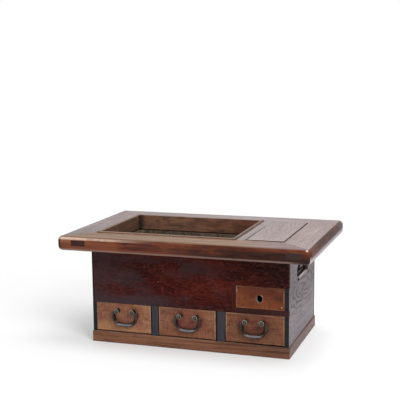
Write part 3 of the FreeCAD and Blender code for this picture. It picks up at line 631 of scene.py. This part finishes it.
def lining_figure(t, colour, coord):
    """Smoke and heat on the hearth lining: redder at the right, with painted shade in the left rear corner
    and along the joint with the divider.
    """
    right, back, up = t.offsets(coord, (0, 0, LINING_HIGH.z))
    cloud = t.patches(coord, (12.0, 12.0, 60.0), 4.0)
    blotch = t.patches(coord, (16.0, 16.0, 48.0))
    # Painted shade in the left rear corner
    corner = t.times(t.fall(right, -276, -250), t.rise(back, 132, 142))
    left_wall = t.fall(right, -277.3, -276.8)
    top = t.rise(up, -1, -0.4)
    # Painted shade along the joint with the divider
    outer = t.times(top, t.rise(right, 136.2, 137.2))
    colour = lay(t, colour, (
        (t.times(t.rise(cloud, 0.46, 0.62), t.rise(right, -200, -50)), (116, 66, 56), 0.6),
        (t.fall(up, -46.1, -14.1), (84, 66, 58), 0.35),
        (left_wall, (42, 24, 12), 0.72),
        (t.times(t.band(right, -240, -80, 50), t.rise(up, -42.1, -22.1)), (146, 104, 80), 0.55),
        (t.rise(right, -150, 50), (60, 32, 24), 0.68),
        (t.rise(right, -20, 100), (112, 58, 28), 0.35),
        (t.rise(blotch, 0.5, 0.62), (156, 104, 78), 0.45),
        (t.fall(blotch, 0.38, 0.48), (46, 26, 30), 0.5),
        (left_wall, (66, 40, 18), 0.5),
        (corner, (6, 4, 4), 0.88),
        (top, (112, 92, 78), 0.85),
        (outer, (40, 28, 27), 0.85)))
    return colour, t.most(t.plus(t.times(top, 0.25), t.times(outer, 0.3)), t.times(corner, 0.4))


def plinth_figure(t, colour, coord):
    """Streaked plinth: a top edge with a painted sheen and rubbed wear at the left and painted shade at the
    right, painted shade along the top of the right end and of the front at the right, and a painted contact
    shadow at its foot.
    """
    right, _, up = t.offsets(coord)
    top = t.rise(up, 31.6, 32.5)
    end = t.rise(right, 302.2, 302.6)
    run = t.patches(coord, (5.0, 5.0, 170.0))
    return lay(t, colour, (
        (t.rise(run, 0.52, 0.62), (146, 92, 56), 0.4),
        (t.fall(run, 0.36, 0.46), (70, 40, 32), 0.45),
        (t.rise(right, 50, 250), (76, 46, 38), 0.3),
        (end, (118, 104, 104), 0.8),
        # Painted shade along the top of the right end, and along the top of the front towards the right
        (t.times(end, t.rise(up, 28.5, 31)), (58, 44, 42), 0.85),
        (t.times(t.rise(right, 0, 280), t.rise(up, 27.5, 30)), (64, 40, 32), 0.6),
        # Painted contact shadow at the foot
        (t.fall(up, 1.5, 3.5), (44, 30, 26), 0.6),
        # Top edge: painted sheen with rubbed wear at the left, painted shade at the right
        (top, (164, 132, 118), 0.75),
        (t.times(top, t.rise(right, 50, 280)), (52, 38, 36), 0.9))), None


def post_figure(name, joint):
    """Painted shadow in the joints down both edges of a post; the left joint's width is in millimetres."""
    low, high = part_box(name)

    def extra(t, colour, coord):
        from_left = t.offsets(coord, low)[0]
        from_right = t.offsets(coord, high)[0]
        # Painted shadow at both edges, where the post meets the drawers
        edge = t.most(t.fall(from_left, joint, joint + 1), t.rise(from_right, -2.6, -1.6))
        return lay(t, colour, ((edge, (10, 5, 4), 0.9),)), t.times(edge, 0.4)
    return extra


def rail_figure(t, colour, coord):
    """Lighter, redder end where the rail laps the side panel."""
    right = t.offsets(coord)[0]
    return lay(t, colour, ((t.rise(right, 286.5, 287.5), (56, 26, 22), 0.85),)), None


# Dark, middle and light colours of the boards
TABLE = tones((46, 20, 10), (92, 52, 30), (128, 82, 52))
VIOLET = tones((56, 40, 38), (98, 79, 77), (128, 109, 107))
LILAC = tones((64, 46, 44), (110, 90, 87), (142, 121, 118))
LINING = tones((56, 34, 26), (116, 76, 56), (160, 116, 88))
SIDE = tones((44, 34, 38), (84, 70, 76), (118, 104, 110))
BACK = tones((40, 28, 24), (70, 52, 44), (98, 76, 66))
PANEL = tones((24, 4, 3), (52, 10, 6), (76, 18, 10))
RAIL = tones((22, 7, 8), (42, 16, 16), (60, 27, 25))
POST = tones((20, 19, 23), (43, 41, 46), (68, 67, 75))
PLINTH = tones((60, 30, 18), (112, 68, 46), (156, 108, 80))
INNER = tones((84, 62, 44), (130, 98, 70), (160, 126, 94))
SHADED = tones((30, 22, 18), (50, 38, 30), (70, 54, 44))

# Finishes of the boards
SMOOTH = dict(coat=0.2, coat_rough=0.15, rough=0.34, ior=1.42, streaks=0.2, dulling=0.07)
FRONT_RIM = dict(rough=0.34, coat=0.05, coat_rough=0.1, ior=1.3, streaks=0.45, wear=0.15, extra=table_front)
SIDE_RIM = dict(SMOOTH, coat=0.1, ior=1.36, wear=0.1, extra=table_side)
PLAIN = dict(rough=0.36, coat=0.0, ior=1.42, streaks=0.15, dulling=0.08, figure=0.3, extra=side_figure)
LACQUER = dict(rough=0.42, coat=0.0, ior=1.18, wear=0.1, streaks=0.2, extra=panel_figure)
BARE = dict(ior=1.25, coat=0.0, wear=0.1, extra=rail_figure)
DULL = dict(coat=0.0, ior=1.3, wear=0.1, streaks=0.3)
WAXED = dict(coat=0.0, ior=1.36, extra=plinth_figure)
LEFT_POST = dict(DULL, extra=post_figure("drawer_post_left", 2.2))
RIGHT_POST = dict(DULL, extra=post_figure("drawer_post_right", 4.2))

# Board, grain axis, colours, millimetres between rings, finish; a board's seed is its place in the list
BOARDS = (
    ("table_front_rail", "X", TABLE, 7, FRONT_RIM),
    ("table_back_rail", "X", VIOLET, 7, SMOOTH),
    ("table_left_rail", "Y", VIOLET, 6, SIDE_RIM),
    ("table_right_rail", "Y", LILAC, 6, SIDE_RIM),
    ("table_divider_rail", "Y", VIOLET, 5, dict(SMOOTH, extra=divider_figure)),
    ("hearth_lining_front", "X", LINING, 6, dict(wear=0.15, extra=lining_figure)),
    ("hearth_lining_back", "X", LINING, 8, dict(wear=0.1, stain=0.6, extra=lining_figure)),
    ("hearth_lining_left", "Y", LINING, 6, dict(wear=0.05, extra=lining_figure)),
    ("hearth_lining_right", "Y", LINING, 6, dict(wear=0.1, extra=lining_figure)),
    ("lid_board", "Y", VIOLET, 6, dict(SMOOTH, extra=lid_figure)),
    ("lid_battens", "X", INNER, 5, {}),
    ("left_side_panel", "Y", SIDE, 6, PLAIN),
    ("right_side_panel", "Y", SIDE, 6, PLAIN),
    ("back_panel", "X", BACK, 7, dict(rough=0.55)),
    ("front_panel", "X", PANEL, 8, LACQUER),
    ("mid_rail", "X", RAIL, 6, BARE),
    ("deck_board", "X", INNER, 8, {}),
    ("hearth_partition", "Z", PANEL, 6, DULL),
    ("well_floor", "X", SHADED, 8, {}),
    ("drawer_post_left", "Z", POST, 5, LEFT_POST),
    ("drawer_post_right", "Z", POST, 5, RIGHT_POST),
    ("drawer_partition_left", "Y", INNER, 6, {}),
    ("drawer_partition_right", "Y", INNER, 6, {}),
    ("drawer_guide_strips", "Y", INNER, 5, {}),
    ("plinth_front", "X", PLINTH, 6, WAXED),
    ("plinth_back", "X", PLINTH, 6, WAXED),
    ("plinth_left", "Y", PLINTH, 6, WAXED),
    ("plinth_right", "Y", PLINTH, 6, WAXED),
    ("bottom_board", "X", INNER, 8, {}),
    ("bottom_cleats", "Y", INNER, 6, {}))
for seed, (name, grain, colours, spacing, finish) in enumerate(BOARDS, start=1):
    put(name, wood(name, grain, *colours, seed, spacing * MM, **finish))
    ease(name)

# Drawer fronts: the dark, middle and light of the wood, then its red, gold, dark and pale patches
TAN = (((72, 38, 24), (136, 86, 58), (172, 122, 88)),
       ((124, 64, 52), (184, 134, 92), (84, 50, 38), (190, 140, 104)))
ROSE = (((64, 32, 20), (118, 72, 50), (154, 104, 74)),
        ((116, 54, 44), (142, 92, 60), (76, 44, 34), (166, 116, 84)))
UMBER = (((54, 27, 18), (103, 62, 43), (138, 93, 67)),
         ((98, 46, 34), (118, 76, 50), (60, 35, 26), (150, 104, 76)))
RUST = (((38, 13, 6), (80, 34, 17), (112, 56, 29)),
        ((76, 24, 12), (118, 60, 27), (46, 19, 12), (130, 74, 42)))
FRONT = dict(figure=0.6, stain=0.25, wear=0.8, coat=0.0, rough=0.38, streaks=0.35)
DRAWER_PARTS = (("left_side", "Y"), ("right_side", "Y"), ("back", "X"), ("bottom", "X"))
DRAWER_SPACING = 6 * MM
FIRST_DRAWER_SEED = 41

# Drawer, the left, right, foot and top of its front's figure in millimetres, colours, IOR
DRAWERS = (
    ("drawer_1", (-287, -115, 33, 121), TAN, 1.38),
    ("drawer_2", (-88, 84, 33, 121), ROSE, 1.38),
    ("drawer_3", (116, 287, 33, 121), UMBER, 1.3),
    ("small_drawer", (147, 287, 138, 202), RUST, 1.3))
for number, (label, extents, (base, patches), ior) in enumerate(DRAWERS):
    seed = FIRST_DRAWER_SEED + number * (1 + len(DRAWER_PARTS))
    name = label + "_front"
    figure = drawer_figure(*extents, patches, label == "small_drawer")
    put(name, wood(name, "X", *tones(*base), seed, DRAWER_SPACING, ior=ior, extra=figure, **FRONT))
    ease(name)
    for step, (part, grain) in enumerate(DRAWER_PARTS, start=1):
        name = label + "_" + part
        put(name, wood(name, grain, *INNER, seed + step, DRAWER_SPACING))


# Metal. A noise is: scale per metre, detail, roughness
CLOUD_NOISE = (70.0, 4.0, 0.65)
FINE_NOISE = (600.0, 3.0, 0.6)
CLOUD_STOPS = [(0.35, 0.0), (0.65, 1.0)]
SPOT_STOPS = [(0.5, 0.0), (0.7, 1.0)]
METAL_EDGE = 1.0 * MM
METAL_EDGE_TURN = (0.02, 0.3)
EDGE_SHARE = 0.4
CLOUD_GLOSS = 0.25
CLOUD_MIDDLE = 0.12
DENT_STRENGTH = 0.25
DENT_DEPTH = 0.2 * MM


def metal(name, colours, metallic, rough, spots, extra=None):
    """Patinated metal: mottled tone, pale spots, rubbed edges and soft dents."""
    dark, mid, light = tones(*colours)
    t = Tree(bpy.data.materials.new(name))
    coord = t.add("TexCoord").outputs["Object"]
    cloud = t.noise(coord, *CLOUD_NOISE)
    fine = t.noise(coord, *FINE_NOISE)
    colour = t.mix(t.ramp(cloud, CLOUD_STOPS), dark, mid)
    colour = t.mix(t.times(t.ramp(fine, SPOT_STOPS), spots), colour, light)
    colour = t.mix(t.times(edge_mask(t, METAL_EDGE, *METAL_EDGE_TURN), EDGE_SHARE), colour, light)
    if extra:
        colour = extra(t, colour, coord)
    gloss = t.plus(t.times(cloud, CLOUD_GLOSS), rough - CLOUD_MIDDLE)
    bump = t.add("Bump", None, strength=DENT_STRENGTH, distance=DENT_DEPTH, height=fine)
    shader = t.add("BsdfPrincipled", None, base_color=colour, roughness=gloss, normal=bump.outputs[0])
    shader.inputs["Metallic"].default_value = metallic
    return t.finish(shader.outputs[0])


# Millimetres: from a handle's middle to each post, and the radii of a post's head
POST_OFFSET = 24.3
BOSS_RADIUS = 3.0
DISH_RADIUS = 5.6
RING_RADIUS = 7.4


def handle_patina_and_light(middle):
    """Pale rings on the posts' heads with a painted highlight brighter on their upper half, dark dishes, and
    a bail with painted shade inside and a painted floor reflection and highlight line below.
    """
    def extra(t, colour, coord):
        across, _, up = t.offsets(coord, middle)
        radial = t.vector("LENGTH", t.join(t.minus(t.size(across), POST_OFFSET), up))
        # Painted highlight: the rings are brighter on their upper half
        lit = t.plus(t.times(t.rise(up, -5, 5), 0.65), 0.35)
        # Painted shade inside the bail
        inside = t.times(t.fall(t.size(across), 33.5, 36.5), t.rise(up, -34, -26),
                         t.rise(radial, RING_RADIUS + 1, RING_RADIUS + 2))
        return lay(t, colour, (
            (t.band(radial, BOSS_RADIUS, DISH_RADIUS, 0.4), (14, 12, 12), 0.7),
            (t.times(t.band(radial, DISH_RADIUS, RING_RADIUS, 0.4), lit), (172, 162, 146), 0.6),
            (t.fall(radial, 1.8, 2.6), (130, 122, 108), 0.5),
            # Painted reflection of the floor on the bail's lower part, and a painted highlight line across
            # it
            (t.fall(up, -46, -32), (112, 112, 116), 0.35),
            (t.times(t.band(up, -40.5, -36.5, 1.5), t.band(across, -20, 16, 12)), (190, 190, 192), 0.26),
            (inside, (16, 11, 10), 0.8)))
    return extra


COPPER = ((70, 54, 44), (124, 104, 84), (176, 172, 150))
IRON = ((34, 26, 23), (72, 59, 52), (160, 148, 136))
for number in (1, 2, 3):
    hinge = next(joint for joint in frame["joints"] if joint["name"] == "bail_%d_hinge" % number)
    # These marks hold painted highlights, a painted reflection and painted shade
    wear = handle_patina_and_light(hinge["pos_m"])
    iron = metal("iron_%d" % number, IRON, metallic=0.85, rough=0.27, spots=0.35, extra=wear)
    for part in ("bail", "handle_posts"):
        put("drawer_%d_%s" % (number, part), iron)
put("copper_liner", metal("copper", COPPER, metallic=0.6, rough=0.5, spots=0.7))


# Lamps
def area(name, place, aim, width, height, watts):
    """A soft rectangular lamp that points at a place."""
    data = bpy.data.lights.new(name, "AREA")
    data.shape = "RECTANGLE"
    data.size = width
    data.size_y = height
    data.energy = watts
    obj = bpy.data.objects.new(name, data)
    obj.location = place
    obj.rotation_euler = (Vector(aim) - Vector(place)).to_track_quat("-Z", "Y").to_euler()
    bpy.context.scene.collection.objects.link(obj)


area("key", place=(1.5, -1.6, 1.9), aim=(0, 0, 0.2), width=1.1, height=1.0, watts=52)
area("over", place=(0.5, 0.5, 2.6), aim=(0, 0, 0.3), width=2.2, height=2.0, watts=50)

# Surroundings: white where seen, and a softer light that is brightest from behind and the left
WHITE = (1, 1, 1, 1)
world = bpy.data.worlds.new("studio")
bpy.context.scene.world = world
t = Tree(world)
heading = t.axes(t.add("TexCoord").outputs["Generated"])
from_behind = t.remap(heading["Y"], low=-0.6, high=0.5, first=0.12, last=1.0, change="LINEAR")
from_left = t.remap(heading["X"], low=-0.1, high=0.2, first=1.0, last=0.4)
soft = t.add("Background", None, color=WHITE, strength=t.times(from_behind, from_left))
white = t.add("Background", None, color=WHITE, strength=1.0)
t.finish(t.mix_shader(t.seen_rays(), soft.outputs[0], white.outputs[0]), "OutputWorld")

# Floor: it takes the shadows, and fades to white away from the chest and in front of it
FLOOR_REACH = 6.0
FLOOR_GRAIN = 40.0
FLOOR_ROUGH = 0.8
FLOOR_TONES = ((0.88, 0.88, 0.885, 1), (0.9, 0.9, 0.9, 1))
FADE_SHAPE = (0.8, 1.0, 1.0)
LEAST_WHITE = 0.3
AHEAD_WHITE = 0.85
RIGHT_LOSS = 0.45
floor_mesh = bpy.data.meshes.new("floor")
corners = [(-1, -1), (1, -1), (1, 1), (-1, 1)]
floor_mesh.from_pydata([(x * FLOOR_REACH, y * FLOOR_REACH, 0) for x, y in corners], [], [(0, 1, 2, 3)])
floor = bpy.data.objects.new("floor", floor_mesh)
bpy.context.scene.collection.objects.link(floor)
t = Tree(bpy.data.materials.new("floor"))
place = t.add("TexCoord").outputs["Object"]
right, back, _ = t.axes(place)
tone = t.mix(t.noise(place, FLOOR_GRAIN), *FLOOR_TONES)
ground = t.add("BsdfPrincipled", None, base_color=tone, roughness=FLOOR_ROUGH)
glow = t.add("Emission", None, color=WHITE, strength=1.0)
far = t.rise(t.vector("LENGTH", t.vector("MULTIPLY", place, FADE_SHAPE)), low=0.35, high=1.1)
ahead = t.fall(back, low=-0.34, high=-0.16)
level = t.minus(AHEAD_WHITE, t.times(t.rise(right, low=0.2, high=0.45), RIGHT_LOSS))
clear = t.most(far, t.times(ahead, level))
share = t.plus(t.times(clear, 1 - LEAST_WHITE), LEAST_WHITE)
blend = t.mix_shader(t.times(t.seen_rays(), share), ground.outputs[0], glow.outputs[0])
floor_mesh.materials.append(t.finish(blend))

# Camera, fitted to the photo: sensor in millimetres, angles from degrees, distances in metres
SENSOR = 36.0
FOCAL_PIXELS = 897.43
IMAGE = 400.0
PRINCIPAL = (206.55, 197.17)
TURN = math.radians(18.616)
RISE = math.radians(8.595)
ROLL = math.radians(-0.613)
DISTANCE = 2.70307
AIM = Vector((0.004013, 0.0, 0.42263))
NEAR_CLIP = 0.05
FAR_CLIP = 50
behind = Vector((math.sin(TURN) * math.cos(RISE), -math.cos(TURN) * math.cos(RISE), math.sin(RISE)))
flat_right = Vector((math.cos(TURN), math.sin(TURN), 0))
flat_up = behind.cross(flat_right)
cam_right = flat_right * math.cos(ROLL) + flat_up * math.sin(ROLL)
cam_up = flat_up * math.cos(ROLL) - flat_right * math.sin(ROLL)
data = bpy.data.cameras.new("camera")
data.sensor_width = SENSOR
data.lens = FOCAL_PIXELS / IMAGE * SENSOR
data.shift_x = -(PRINCIPAL[0] - IMAGE / 2) / IMAGE
data.shift_y = (PRINCIPAL[1] - IMAGE / 2) / IMAGE
data.clip_start = NEAR_CLIP
data.clip_end = FAR_CLIP
camera = bpy.data.objects.new("camera", data)
turned = Matrix((cam_right, cam_up, behind)).transposed().to_4x4()
camera.matrix_world = Matrix.Translation(AIM + behind * DISTANCE) @ turned
bpy.context.scene.collection.objects.link(camera)
bpy.context.scene.camera = camera
bpy.context.scene.view_settings.view_transform = "Standard"
